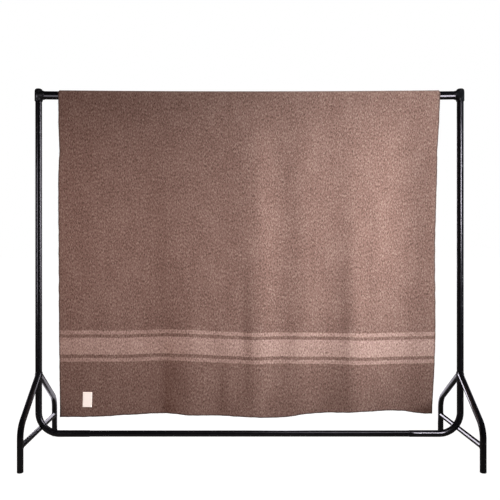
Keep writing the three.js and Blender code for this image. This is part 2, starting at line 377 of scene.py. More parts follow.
# front hem: x, height above the floor
frontHem = np.array([
    (-809, 160), (-590, 162), (-455, 169), (-330, 174.5), (-250, 171), (-117, 168), (-10, 163),
    (120, 158.5), (235, 171.5), (350, 178), (480, 183), (655, 182), (700, 176), (809, 175),
])

# woven border near each hem, in mm from the hem: a wide light band with a thin light line on either side
border = dict(middle=301.0, bandHalf=35.5, lineFrom=49.5, lineTo=65.5, edge=1.6, lineStrength=0.86)

# middle of that light band on the front fall: x, height above the floor
bandHeights = np.array([
    (-809, 459), (-680, 459), (-530, 457), (-327, 464), (-225, 461.5), (-125, 456.5), (25, 451),
    (127, 452.5), (228, 451), (378, 449), (532, 447), (636, 448.5), (809, 455),
])

# soft folds: x at the four levels below, fade to the left and to the right, then depth at the same levels
foldLevels = np.array([0.2, 0.47, 0.74, 1.0])  # shares of the way from the rail to the hem
frontFolds = np.array([
    (-450, -455, -450, -445, 190, 90, -7, -9, -12, -16),
    (-225, -225, -240, -260, 75, 110, 0, 3, 8, 14),
    (20, 25, 30, 5, 150, 66, 11, 14, 17, 14),
    (215, 215, 215, 215, 70, 90, 5, 4, 6, 1),
    (300, 300, 300, 300, 64, 58, 0, -1, -3, -10),
    (430, 430, 435, 440, 64, 52, 2, 4, 9, 10),
    (655, 650, 650, 640, 110, 110, -13, -14, -14, -13),
    (-365, -365, -365, -365, 40, 30, 0, 0, -2, -6),
    (-135, -135, -135, -135, 45, 24, 0, 0, 0, -5),
    (-28, -28, -28, -28, 40, 24, 0, 0, -5, -1),
    (385, 385, 385, 385, 34, 26, 0, -1, -2, -1),
    (520, 520, 520, 520, 34, 40, 0.5, 1, 1, 1),
    (800, 800, 800, 800, 90, 60, 2, 4, 3, 2),
])
backFolds = np.array([
    (-600, -610, -615, -618, 120, 150, 2, 4, 7, 9),
    (-255, -250, -248, -240, 130, 110, -2, -3, -5, -6),
    (80, 88, 95, 100, 140, 170, 3, 6, 9, 11),
    (525, 520, 515, 512, 120, 130, -2, -3, -4, -5),
])

# shallow hollows and swells left by storage: x, height, half width, half height, depth
frontDents = np.array([
    (505, 955, 30, 45, -3.5),
    (500, 680, 32, 45, -3.0),
    (530, 845, 40, 45, 2.0),
    (165, 950, 45, 55, -2.5),
    (345, 680, 45, 60, -2.0),
    (705, 890, 50, 90, -2.0),
])

label = dict(
    x=-683.0, z=234.0, width=38.5, height=64.0, thickness=0.8, gap=0.3,
    tilt=-1.5,  # degrees
    columns=26, rows=42,
    turnedEnd=5.0,  # depth of the ends that are folded under
    endRise=0.3, edgeRounding=0.5,
    smoothFrom=75.0,  # the cloth's lumps fade out towards the label's middle
    smoothTo=40.0,
)


# the rail sags as a parabola: height - sag * (1 - (x / half)^2)
def railCentre(x):
    return cloth["railHeight"] - cloth["railSag"] * (1 - (x / cloth["railHalf"]) ** 2)


# a smooth curve through the hem's table
def hemHeight(x):
    return tableCurve(frontHem[:, 0], frontHem[:, 1], x)


# folds: each row adds depth(share) * exp(-((x - place(share)) / fade)^2), and all die out on the rail
def relief(rows, standOff, x, share):
    settle = smoothStep(share, 0, cloth["foldSettle"])
    level = np.maximum(share, foldLevels[0])
    depth = standOff * settle
    for row in rows:
        place = tableCurve(foldLevels, row[:4], level)
        reach = tableCurve(foldLevels, row[6:], level) * settle
        fade = np.where(x < place, row[4], row[5])
        depth = depth + reach * np.exp(-(((x - place) / fade) ** 2))
    return depth


# the front fall's mid-surface: its folds, and dents of depth * exp(-(dx / halfWidth)^2 - (dz / halfHeight)^2)
def frontSurface(x, share):
    z = railCentre(x) + (hemHeight(x) - railCentre(x)) * share
    depth = bendMiddle + relief(frontFolds, cloth["frontStandOff"], x, share)
    for place, height, halfWidth, halfHeight, reach in frontDents:
        depth = depth + reach * np.exp(-(((x - place) / halfWidth) ** 2) - ((z - height) / halfHeight) ** 2)
    return sideBySide(x, -depth, z)


# the mid-surface from the back hem over the rail to the front hem, with the distances across the cloth and
# along it from the top of the rail (towards the front is positive), and the runs of the two falls
def clothSurface():
    near = np.array(cloth["edgeSteps"])

    def lines(count, length, bothEnds):
        start = near / length if bothEnds else np.zeros(0)
        inner = np.linspace(2 * near[-1] / length * bothEnds, 1 - 2 * near[-1] / length, count)
        return np.concatenate([start, inner if bothEnds else inner[1:], 1 - near[::-1] / length])

    across = lines(cloth["columns"], cloth["width"], True)
    frontLength = cloth["railHeight"] - frontHem[:, 1].mean()
    backLength = cloth["railHeight"] - cloth["backHem"]
    frontShare = lines(cloth["frontRows"], frontLength, False)[:, None]
    backShare = lines(cloth["backRows"], backLength, False)[::-1, None]
    angle = np.linspace(0, np.pi, cloth["wrapRows"] + 1)[:, None]

    def spread(table, share):
        left = tableCurve(table[:, 0], table[:, 1], share)
        right = tableCurve(table[:, 0], table[:, 2], share)
        return left + (right - left) * across

    front = frontSurface(spread(frontEdges, frontShare), frontShare)
    wrapX = spread(frontEdges, np.zeros((1, 1)))
    wrap = sideBySide(wrapX, bendMiddle * np.cos(angle), railCentre(wrapX) + bendMiddle * np.sin(angle))
    backX = spread(backEdges, backShare)
    backZ = railCentre(backX) + (cloth["backHem"] - railCentre(backX)) * backShare
    backY = bendMiddle + relief(backFolds, cloth["backStandOff"], backX, backShare)
    surface = np.concatenate([sideBySide(backX, backY, backZ), wrap, front])

    quarter = bendMiddle * np.pi / 2
    onBack, onFront = -quarter - backShare * backLength, quarter + frontShare * frontLength
    along = np.concatenate([onBack, bendMiddle * (angle - np.pi / 2), onFront])
    u, s = np.meshgrid(across * cloth["width"], along[:, 0])
    return surface, u, s, frontLength + quarter, backLength + quarter


# the two faces stand half a thickness off the mid-surface, and come together in a round at the edges:
# half thickness * sqrt(1 - (1 - d / rounding)^2) at a distance d from the edge
def hangCloth():
    surface, u, s, frontRun, backRun = clothSurface()
    fromSide = np.minimum(u, cloth["width"] - u)
    fromHem = np.minimum(frontRun - s, backRun + s)
    sideways = np.sign(u - cloth["width"] / 2)
    sideStray = softLumps(s, 0 * s, *cloth["sideWaves"]) * cloth["edgeWander"] * sideways
    surface[..., 0] += sideStray * np.exp(-fromSide / cloth["wanderReach"])
    hemStray = softLumps(u, 0 * u, *cloth["hemWaves"]) * cloth["edgeWander"]
    surface[..., 2] += hemStray * np.exp(-fromHem / cloth["wanderReach"])

    outward = unit(np.cross(np.gradient(surface, s[:, 0], axis=0), np.gradient(surface, u[0], axis=1)))
    fromEdge = np.minimum(fromSide, fromHem)
    rounding = np.clip(fromEdge / cloth["edgeRounding"], 0, 1)
    half = cloth["thickness"] / 2 * np.sqrt(1 - (1 - rounding) ** 2)
    fromLabel = np.hypot(surface[..., 0] - label["x"], surface[..., 2] - label["z"])
    offRail = smoothStep(np.abs(s), bendMiddle * cloth["lumpsFrom"], cloth["lumpsFull"])
    free = offRail * smoothStep(fromLabel, label["smoothTo"], label["smoothFrom"])
    lumps = cloth["lumps"] * softLumps(u, s, *cloth["lumpWaves"]) * free * rounding
    outer = surface + outward * (lumps + half)[..., None]
    inner = surface + outward * (lumps - half)[..., None]

    # the woven border's light band is one straight line of the weft, so it sets the distance from the hem
    band = tableCurve(bandHeights[:, 0], bandHeights[:, 1], surface[..., 0])
    quarter = bendMiddle * np.pi / 2
    onFall = border["middle"] + surface[..., 2] - band
    pastRail = border["middle"] + railCentre(surface[..., 0]) - band + quarter - s
    fromFrontHem = np.where(s > quarter, onFall, pastRail)
    return surface, outer, inner, sideBySide(u, fromFrontHem) * mm, fromEdge[..., None]


woolLook = dict(
    dark=(0.070, 0.032, 0.0245, 1),
    body=(0.182, 0.100, 0.0805, 1),
    pale=(0.360, 0.240, 0.199, 1),
    borderBody=(0.342, 0.208, 0.175, 1),
    borderDark=(0.132, 0.070, 0.057, 1),
    borderPale=(0.585, 0.402, 0.338, 1),
    fleck=(0.480, 0.370, 0.310, 1),
    # painted shade: the colour the cloth darkens to along its edges, where its rounded thickness turns from
    # the light
    edge=(0.045, 0.030, 0.025, 1),
    darkShare=0.82,
    paleShare=0.64,
    fleckShare=0.4,
    fine={"Fineness": 640.0, "Mottle": 0.7},  # fibres per metre, and how blotchy
    coarse={"Fineness": 290.0, "Mottle": 0.5},
    nubs=((0.24, (248.0, 94.0, 1.0)), (-0.30, (226.0, 104.0, 1.0))),  # turn, and slubs per metre both ways
    nubShare=0.74,
    streaks=0.10,  # how far long streaks of the warp shift the mix
    streakScale=(75.0, 4.0, 1.0),
    clouds=0.16,  # and soft patches
    cloudScale=(14.0, 9.0, 1.0),
    drift=0.005,  # wander of the border's lines, in metres
    driftScale=(38.0, 12.0, 1.0),
    ragged=0.006,
    darkRange=(0.50, 0.30),  # of the fibre mix
    paleRange=(0.50, 0.70),
    fleckScale=(250.0, 160.0, 1.0),
    fleckRange=(0.73, 0.80),
    edgeShadeRange=(7.0, 2.5),  # mm from the edge
    edgeShadeShare=0.72,
    roughness=(0.16, 0.84),  # spread and base
    warpPitch=0.0026,
    weftPitch=0.0029,
    weaveHeight=0.10,
    bump=(0.6, 0.001),  # strength and depth
)
woolShader = {
    "Specular IOR Level": 0.12,
    "Sheen Weight": 0.12,
    "Sheen Roughness": 0.5,
    "Sheen Tint": (0.95, 0.86, 0.80, 1),
}


# heathered wool: dark, body and pale fibres mixed by the fibre group, a woven border from the distance to the
# nearest hem, pale flecks, painted shade darkening the edges, and crossed ribs of yarn under the felted nap
def woolMaterial():
    look = woolLook
    material, tree, shader = newMaterial("heathered wool", woolShader)
    place = addNode(tree, "UVMap", uv_map="clothPlace").outputs["UV"]
    apart = addNode(tree, "SeparateXYZ", {0: place})
    fine = useGroup(tree, spunFibres, {"Place": place, **look["fine"]})
    coarse = useGroup(tree, spunFibres, {"Place": place, **look["coarse"]})
    fineStrands, coarseStrands = fine.outputs["Strands"], coarse.outputs["Strands"]
    cloud = noise(tree, place, look["cloudScale"], detail=2.0)
    streak = noise(tree, place, look["streakScale"], detail=2.0)

    # weft lines wander by a millimetre or two
    drift = sway(tree, noise(tree, place, look["driftScale"]), look["drift"], 0.0)
    ragged = sway(tree, fineStrands, look["ragged"], drift)
    fromBack = calc(tree, "SUBTRACT", cloth["length"] * mm, apart.outputs[1])
    fromHem = calc(tree, "ADD", calc(tree, "MINIMUM", apart.outputs[1], fromBack), ragged)
    fromMiddle = calc(tree, "ABSOLUTE", calc(tree, "SUBTRACT", fromHem, border["middle"] * mm))

    def past(distance):
        return softEdge(tree, fromMiddle, (distance - border["edge"]) * mm, (distance + border["edge"]) * mm)

    band = calc(tree, "SUBTRACT", 1.0, past(border["bandHalf"]))
    line = calc(tree, "SUBTRACT", past(border["lineFrom"]), past(border["lineTo"]))
    light = scaled(tree, line, border["lineStrength"], band)

    layers = []
    for turn, scale in look["nubs"]:
        values = {"Vector": place, "Angle": turn}
        turned = addNode(tree, "VectorRotate", values, rotation_type="Z_AXIS")
        layers.append(noise(tree, turned.outputs[0], scale, detail=2.0, roughness=0.6))
    nubs = calc(tree, "SUBTRACT", calc(tree, "ADD", *layers), 0.5)
    strands = calc(tree, "MULTIPLY", calc(tree, "ADD", fineStrands, coarseStrands), 0.5)
    strands = scaled(tree, calc(tree, "SUBTRACT", nubs, strands), look["nubShare"], strands)
    shaded = sway(tree, cloud, look["clouds"], sway(tree, streak, look["streaks"], strands))

    ground = blend(tree, light, look["body"], look["borderBody"])
    shadow = blend(tree, light, look["dark"], look["borderDark"])
    bright = blend(tree, light, look["pale"], look["borderPale"])
    darkShare = calc(tree, "MULTIPLY", softEdge(tree, shaded, *look["darkRange"]), look["darkShare"])
    paleShare = calc(tree, "MULTIPLY", softEdge(tree, shaded, *look["paleRange"]), look["paleShare"])
    mixed = blend(tree, paleShare, blend(tree, darkShare, ground, shadow), bright)
    flecks = softEdge(tree, noise(tree, place, look["fleckScale"], detail=1.0), *look["fleckRange"])
    mixed = blend(tree, calc(tree, "MULTIPLY", flecks, look["fleckShare"]), mixed, look["fleck"])
    # painted shade: mixed in over the last few millimetres before each edge
    fromEdge = addNode(tree, "Attribute", attribute_name="fromEdge").outputs["Fac"]
    paintedEdgeShade = calc(tree, "MULTIPLY", softEdge(tree, fromEdge, *look["edgeShadeRange"]), look["edgeShadeShare"])
    colour = blend(tree, paintedEdgeShade, mixed, look["edge"])
    rough = scaled(tree, coarseStrands, *look["roughness"])

    warp = wave(tree, apart.outputs[0], look["warpPitch"])
    weft = wave(tree, apart.outputs[1], look["weftPitch"])
    nap = calc(tree, "ADD", coarse.outputs["Relief"], fine.outputs["Relief"])
    height = scaled(tree, calc(tree, "MULTIPLY", warp, weft), look["weaveHeight"], nap)
    normal = bumpNormal(tree, height, *look["bump"])
    setInputs(tree, shader, {"Base Color": colour, "Roughness": rough, "Normal": normal})
    return material


# stray fibres round the edges: a start on the border, a heading outwards with a seeded stray, and a curl that
# grows with the square of the way along; each is a three-sided tube that thins to its tip
fuzz = dict(
    count=3000, shortest=1.5, longest=4.8, radius=0.13, taper=0.85, bury=1.0, stray=0.8,
    curl=0.5,
    lean=0.3,  # keeps the tube's side off the heading
    inset=6,  # lines of points from the rim to the line that shows which way is in
    rings=4, seed=21, fibres={"Fineness": 300.0, "Mottle": 0.8}, paleRange=(0.35, 0.65),
)


def fuzzMesh(surface):
    random = np.random.default_rng(fuzz["seed"])
    count, rings, step = fuzz["count"], fuzz["rings"], fuzz["inset"]
    rim = np.concatenate([surface[:, 0], surface[-1], surface[::-1, -1], surface[0, ::-1]])
    inside = [surface[:, step], surface[-1 - step], surface[::-1, -1 - step], surface[step, ::-1]]
    inside = np.concatenate(inside)
    run = np.concatenate([[0], np.cumsum(np.linalg.norm(np.diff(rim, axis=0), axis=1))])

    def onLine(line, places):
        return np.stack([np.interp(places, run, line[:, axis]) for axis in range(3)], axis=-1)

    at = random.uniform(0, run[-1], count)
    start, ahead, inner = onLine(rim, at), onLine(rim, at + 1), onLine(inside, at)
    out = unit(start - inner)
    along = unit(ahead - start + 1e-9)
    proud = np.cross(out, along)
    stray = random.uniform(-fuzz["stray"], fuzz["stray"], (4, count, 1))
    heading = unit(out + stray[0] * along + stray[1] * proud)
    bow = (stray[2] * along + stray[3] * proud) * fuzz["curl"]
    length = random.uniform(fuzz["shortest"], fuzz["longest"], (count, 1, 1))
    way = np.linspace(0, 1, rings)[None, :, None]
    root = (start - out * fuzz["bury"])[:, None]
    middle = root + length * (heading[:, None] * way + bow[:, None] * way ** 2)
    sideways = unit(np.cross(heading, proud + fuzz["lean"] * out))
    upward = np.cross(heading, sideways)
    turn = roundTurns(3)[None, None, :, None]
    offset = np.cos(turn) * sideways[:, None, None] + np.sin(turn) * upward[:, None, None]
    points = middle[:, :, None] + offset * (fuzz["radius"] * (1 - fuzz["taper"] * way))[..., None]
    first = np.arange(count)[:, None, None] * rings * 3
    sides = (gridFaces(rings, 3, closed=True)[None] + first).reshape(-1, 4)
    ends = (np.array([[2, 1, 0], [0, 1, 2]]) + np.array([[0], [(rings - 1) * 3]]))[None] + first
    return points.reshape(-1, 3) * mm, sides.tolist() + ends.reshape(-1, 3).tolist()


# loose fibres are dark to body coloured, by the fibre group
def fibreMaterial():
    material, tree, shader = newMaterial("loose wool fibre", {"Roughness": 0.9, "Specular IOR Level": 0.1})
    place = addNode(tree, "TexCoord").outputs["Object"]
    strands = useGroup(tree, spunFibres, {"Place": place, **fuzz["fibres"]}).outputs["Strands"]
    share = softEdge(tree, strands, *fuzz["paleRange"])
    setInputs(tree, shader, {"Base Color": blend(tree, share, woolLook["dark"], woolLook["body"])})
    return material


tapeLook = dict(
    body=(1.000, 0.860, 0.790, 1),
    shade=(0.860, 0.720, 0.650, 1),
    fibres={"Fineness": 900.0, "Mottle": 0.6},
    pitch=0.0008,
    stitchPitch=0.0032,
    stitchInset=0.0024,
    stitchRange=(0.0006, 0.0002),  # from the seam's middle
    dashRange=(-0.3, 0.2),  # of the sine along the seam
    mottle=(0.8, 0.10),  # spread and base
    weaveShade=0.10,
    stitchShade=0.35,
    roughness=(0.2, 0.65),  # spread and base
    weaveHeight=0.5,
    stitchHeight=1.2,
    bump=(0.35, 0.0003),  # strength and depth
)
# the emission paints a glow on the tape, so that it reads brighter than the lamps light it
tapeShader = {"Specular IOR Level": 0.25, "Sheen Weight": 0.08, "Emission Strength": 0.22}


# woven tape: fine crossed ribs, soft fibre mottling, a line of stitches just inside the two turned ends,
# and a painted glow in its own colour
def tapeMaterial():
    look = tapeLook
    material, tree, shader = newMaterial("cream woven tape", tapeShader)
    place = addNode(tree, "UVMap", uv_map="labelPlace").outputs["UV"]
    apart = addNode(tree, "SeparateXYZ", {0: place})
    across, along = apart.outputs[0], apart.outputs[1]
    fibres = useGroup(tree, spunFibres, {"Place": place, **look["fibres"]})
    weave = calc(tree, "MULTIPLY", wave(tree, across, look["pitch"]), wave(tree, along, look["pitch"]))
    fromEnd = calc(tree, "MINIMUM", along, calc(tree, "SUBTRACT", label["height"] * mm, along))
    seam = calc(tree, "ABSOLUTE", calc(tree, "SUBTRACT", fromEnd, look["stitchInset"]))
    dash = softEdge(tree, wave(tree, across, look["stitchPitch"]), *look["dashRange"])
    stitch = calc(tree, "MULTIPLY", softEdge(tree, seam, *look["stitchRange"]), dash)
    mottle = sway(tree, fibres.outputs["Strands"], *look["mottle"])
    shade = scaled(tree, weave, look["weaveShade"], mottle)
    shade = scaled(tree, stitch, look["stitchShade"], shade)
    colour = blend(tree, shade, look["body"], look["shade"])
    rough = scaled(tree, fibres.outputs["Strands"], *look["roughness"])
    height = scaled(tree, weave, look["weaveHeight"], fibres.outputs["Relief"])
    height = scaled(tree, stitch, look["stitchHeight"], height)
    normal = bumpNormal(tree, height, *look["bump"])
    setInputs(tree, shader, {"Base Color": colour, "Roughness": rough, "Normal": normal})
    setInputs(tree, shader, {"Emission Color": colour})  # painted glow: the tape lights itself in its own colour
    return material


# the label lies on the cloth's outer face: front surface + normal * (half cloth + gap), with thicker turned
# ends and edges that come together in a round
def labelMesh():
    columns, rows = np.linspace(0, 1, label["columns"]), np.linspace(0, 1, label["rows"])
    a, b = np.meshgrid(columns * label["width"], rows * label["height"])
    turn = math.radians(label["tilt"])
    right, up = a - label["width"] / 2, b - label["height"] / 2
    x = label["x"] + right * math.cos(turn) - up * math.sin(turn)
    z = label["z"] + right * math.sin(turn) + up * math.cos(turn)
    middle = frontSurface(x, (railCentre(x) - z) / (railCentre(x) - hemHeight(x)))
    outward = unit(np.cross(np.gradient(middle, axis=1), np.gradient(middle, axis=0)))
    fromEnd = np.minimum(b, label["height"] - b)
    fromEdge = np.minimum(np.minimum(a, label["width"] - a), fromEnd)
    pastEnd = smoothStep(fromEnd, label["turnedEnd"] - 1, label["turnedEnd"] + 1)
    body = label["thickness"] + label["endRise"] * (1 - pastEnd)
    rounding = np.sqrt(1 - (1 - np.clip(fromEdge / label["edgeRounding"], 0, 1)) ** 2)
    under = cloth["thickness"] / 2 + label["gap"]
    outer = middle + outward * (under + body * (0.5 + 0.5 * rounding))[..., None]
    inner = middle + outward * (under + body * (0.5 - 0.5 * rounding))[..., None]
    points, faces = sheetMesh(outer, inner)
    place = sideBySide(a, b) * mm
    return points * mm, faces, sheetValues(place, place)


wool = woolMaterial()
surface, outer, inner, place, fromEdge = hangCloth()
points, faces = sheetMesh(inner, outer)
blanket = addPiece("woolBlanket", points * mm, faces, wool)
addUvMap(blanket, "clothPlace", sheetValues(place, place))
edgeAttribute = blanket.data.attributes.new("fromEdge", "FLOAT", "POINT")
edgeAttribute.data.foreach_set("value", sheetValues(fromEdge, fromEdge).astype(np.float32).ravel())
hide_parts("blanket")
print("blanket hung:", len(faces) * 2, "triangles")

points, faces = fuzzMesh(surface)
edgeFuzz = addPiece("edgeFuzz", points, faces, fibreMaterial())
print("edge fuzz:", fuzz["count"], "fibres")

points, faces, place = labelMesh()
sewnLabel = addPiece("sewnLabel", points, faces, tapeMaterial())
addUvMap(sewnLabel, "labelPlace", place)
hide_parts("label")
print("label sewn on")


# stand

stand = dict(
    half=0.898, uprightRadius=0.014, uprightTop=1.518, railRadius=0.01745, barRadius=0.013,
    barHeight=0.081, barHalf=0.680, bend=0.090, legRadius=0.0125, legPlane=0.897,
    legReach=0.239, kneeHeight=0.172, legTop=0.338, legBend=0.080, braceRadius=0.0105,
    seatGap=0.0003,
    lipLength=0.0012,  # chamfer at the end of an upright's tail
    lipDepth=0.0009, sides=40, railSides=56, railStations=61, barStations=9,
    endRings=(1, 0.66, 0.33, 0.02),  # shares of the radius
    sharpAngle=40,  # degrees
)

steelLook = dict(
    deep=(0.0016, 0.0015, 0.002, 1),
    grey=(0.006, 0.0056, 0.0072, 1),
    scuff=(0.05, 0.048, 0.052, 1),
    roughness=0.20,
    scuffing=0.6,
    peel=0.03,
)
plasticLook = dict(
    deep=(0.003, 0.003, 0.0035, 1),
    grey=(0.009, 0.009, 0.010, 1),
    scuff=(0.055, 0.055, 0.057, 1),
    roughness=0.32,
    scuffing=0.9,
    peel=0.3,
)


# painted or moulded black: a slow drift between two blacks, scuffs on top, and a fine peel in the gloss
def blackMaterial(name, look):
    material, tree, shader = newMaterial(name, {"Specular IOR Level": 0.5})
    place = addNode(tree, "TexCoord").outputs["Object"]
    paint = useGroup(tree, handledPaint, {"Place": place, "Scuffing": look["scuffing"]})
    cloud, scuff = paint.outputs["Cloud"], paint.outputs["Scuff"]
    colour = blend(tree, cloud, look["deep"], look["grey"])
    scuffed = calc(tree, "MULTIPLY", scuff, paintLook["scuffShare"])
    colour = blend(tree, scuffed, colour, look["scuff"])
    rough = scaled(tree, cloud, paintLook["cloudRoughness"], look["roughness"])
    rough = scaled(tree, scuff, paintLook["scuffRoughness"], rough)
    normal = bumpNormal(tree, paint.outputs["Peel"], look["peel"], paintLook["peelDepth"])
    setInputs(tree, shader, {"Base Color": colour, "Roughness": rough, "Normal": normal})
    return material


blacks = {
    "black_steel": blackMaterial("black powder coat", steelLook),
    "black_plastic": blackMaterial("black moulded plastic", plasticLook),
}


# topRail stands for the node top_rail
def nodeName(name):
    return "".join("_" + letter.lower() if letter.isupper() else letter for letter in name)


# one piece from several meshes, with its sharp edges kept sharp
def addHard(name, slot, parts):
    points, faces, first = [], [], 0
    for partPoints, partFaces in parts:
        points.append(partPoints)
        faces += [tuple(corner + first for corner in face) for face in partFaces]
        first += len(partPoints)
    piece = addPiece(name, np.concatenate(points), faces, blacks[slot])
    piece.data.set_sharp_from_angle(angle=math.radians(stand["sharpAngle"]))
    node = nodeName(name)
    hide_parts(node)


# a weld bead: a small rippled circle carried round a closed loop, radius * (1 + ripple * sin)
bead = dict(radius=0.0017, proud=0.4, ripple=0.14, ripples=26, steps=130, sides=10)


def beadMesh(loop):
    tangent = unit(np.roll(loop, -1, axis=0) - np.roll(loop, 1, axis=0))
    toward = loop - loop.mean(axis=0)
    toward = unit(toward - (toward * tangent).sum(axis=1, keepdims=True) * tangent)
    aside = np.cross(tangent, toward)
    turn = roundTurns(bead["sides"])[None, :, None]
    ripple = np.sin(roundTurns(len(loop)) * bead["ripples"])
    radius = bead["radius"] * (1 + bead["ripple"] * ripple)[:, None, None]
    points = loop[:, None] + radius * (np.cos(turn) * toward[:, None] + np.sin(turn) * aside[:, None])
    return points.reshape(-1, 3), gridFaces(len(loop), bead["sides"], closed=True, looped=True).tolist()


# slides points along a tube until they lie on a round upright post: y = post y + facing * sqrt(R^2 - dx^2)
def cope(points, direction, post, radius, facing):
    reach = post[1] + facing * np.sqrt(radius ** 2 - (points[..., 0] - post[0]) ** 2)
    return points + ((reach - points[..., 1]) / direction[1])[..., None] * direction


# the coped end as rings that shrink towards the tube's middle, so the end face follows the post
def copedEnd(path, tubeRadius, direction, post, postRadius, facing):
    radii = [tubeRadius * share for share in stand["endRings"]]
    ends = [sweepCircle(path[-2:], radius, (1, 0, 0), stand["sides"])[-1] for radius in radii]
    return cope(np.stack(ends), direction, post, postRadius + stand["seatGap"], facing)


# where tube and post meet, both made a little larger so that the bead stands out of the corner
def weldLoop(path, tubeRadius, direction, post, postRadius, facing):
    proud = bead["radius"] * bead["proud"]
    loop = sweepCircle(path[-2:], tubeRadius + proud, (1, 0, 0), bead["steps"])[-1]
    return cope(loop, direction, post, postRadius + proud, facing)


# a tube along the sagging line that the blanket hangs on
def addRail():
    low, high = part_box("top_rail")
    x = np.linspace(low[0], high[0], stand["railStations"])
    path = sideBySide(x, 0, railCentre(x / mm) * mm)
    rings = sweepCircle(path, stand["railRadius"], (0, 1, 0), stand["railSides"])
    addHard("topRail", "black_steel", [tubeMesh(rings)])


# a straight tube between the tails of the uprights
def addBar():
    x = np.linspace(-1, 1, stand["barStations"]) * (stand["barHalf"] - stand["seatGap"])
    path = sideBySide(x, 0, stand["barHeight"])
    rings = sweepCircle(path, stand["barRadius"], (0, 1, 0), stand["sides"])
    addHard("bottomBar", "black_steel", [tubeMesh(rings)])


# one tube: down the side, round the bend and in along the floor, with a chamfered end
def addUpright(name, side):
    top = (side * stand["half"], 0, stand["uprightTop"])
    corner = (side * stand["half"], 0, stand["barHeight"])
    path = bentPath(top, corner, (side * stand["barHalf"], 0, stand["barHeight"]), stand["bend"])
    lip = path[-1:] + np.array([side * stand["lipLength"], 0, 0])
    path = np.concatenate([path[:-1], lip, path[-1:]])
    radius = np.full(len(path), stand["uprightRadius"])
    radius[-1] -= stand["lipDepth"]
    rings = sweepCircle(path, radius, (0, 1, 0), stand["sides"])
    addHard("upright" + name, "black_steel", [tubeMesh(rings)])


# from the plug up to the knee, then a slope that is coped and welded to the upright
def addLeg(face, name, side, facing):
    x, y = side * stand["legPlane"], facing * stand["legReach"]
    foot = (x, y, plug["height"] + stand["seatGap"])
    path = bentPath(foot, (x, y, stand["kneeHeight"]), (x, 0, stand["legTop"]), stand["legBend"])
    slope = unit(path[-1] - path[-2])
    path[-1] -= slope * abs(stand["uprightRadius"] / slope[1])
    rings = sweepCircle(path, stand["legRadius"], (1, 0, 0), stand["sides"])
    fit = (path, stand["legRadius"], slope, (side * stand["half"], 0), stand["uprightRadius"], facing)
    parts = [tubeMesh(np.concatenate([rings[:-1], copedEnd(*fit)])), beadMesh(weldLoop(*fit))]
    addHard("leg" + face + name, "black_steel", parts)


# a straight tube from leg to leg, coped and welded at both ends
def addBrace(name, side):
    node = nodeName("brace" + name)
    x, height = side * stand["legPlane"], sum(corner[2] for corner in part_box(node)) / 2
    reach = stand["legReach"] - stand["legRadius"]
    stations = (-1, -0.98, -0.5, 0, 0.5, 0.98, 1)  # shares of the reach
    path = np.array([(x, share * reach, height) for share in stations])
    ends, welds = [], []
    for facing, way in ((-1, path[::-1]), (1, path)):
        leg = (x, facing * stand["legReach"])
        fit = (way, stand["braceRadius"], np.array((0, facing, 0)), leg, stand["legRadius"], -facing)
        ends.append(copedEnd(*fit))
        welds.append(beadMesh(weldLoop(*fit)))
    rings = sweepCircle(path, stand["braceRadius"], (1, 0, 0), stand["sides"])
    firstEnd = np.roll(ends[0][::-1, ::-1], 1, axis=1)  # swept the other way round
    firstEnd = np.roll(firstEnd, stand["sides"] // 2, axis=1)
    tube = tubeMesh(np.concatenate([firstEnd, rings[1:-1], ends[1]]))
    addHard("brace" + name, "black_steel", [tube] + welds)


# moulded end plug: flat tread with a shallow recess, rounded edge, straight wall and a chamfer under the tube
plug = dict(
    height=0.007, radius=0.0125, round=0.0025, roundSteps=8, recess=0.0006, recessRadius=0.0062,
    recessSlope=0.0005, chamfer=0.0004,
    centre=0.0004,  # radius of the innermost ring
    sides=40,
)


def addPlug(face, name, side, facing):
    turn = np.linspace(0, np.pi / 2, plug["roundSteps"])
    centre, recess, recessRadius = plug["centre"], plug["recess"], plug["recessRadius"]
    tread = [(centre, recess), (recessRadius, recess), (recessRadius + plug["recessSlope"], 0)]
    radius, height, chamfer = plug["radius"], plug["height"], plug["chamfer"]
    edge = sideBySide(radius - plug["round"] * (1 - np.sin(turn)), plug["round"] * (1 - np.cos(turn)))
    wall = [(radius, height - chamfer), (radius - chamfer, height)]
    profile = np.concatenate([tread, edge, wall, [(centre, height)]])
    middle = np.array([side * stand["legPlane"], facing * stand["legReach"], 0])
    rings = turnProfile(profile, plug["sides"]) + middle
    addHard("footPlug" + face + name, "black_plastic", [tubeMesh(rings)])


fitting = dict(
    height=1.522, sleeveRadius=0.017, crown=0.028,
    crownStart=0.01,  # radians from straight up
    foot=0.026, footRadius=0.0162, bossRadius=0.019, bossReach=0.026, bossBack=0.008,
    socketRadius=0.0143, socketTop=-0.0037, lip=0.0006, domeSoftness=4.5, footSoftness=22,
    bossSoftness=18, joinSoftness=13, sides=72, rings=58,
)


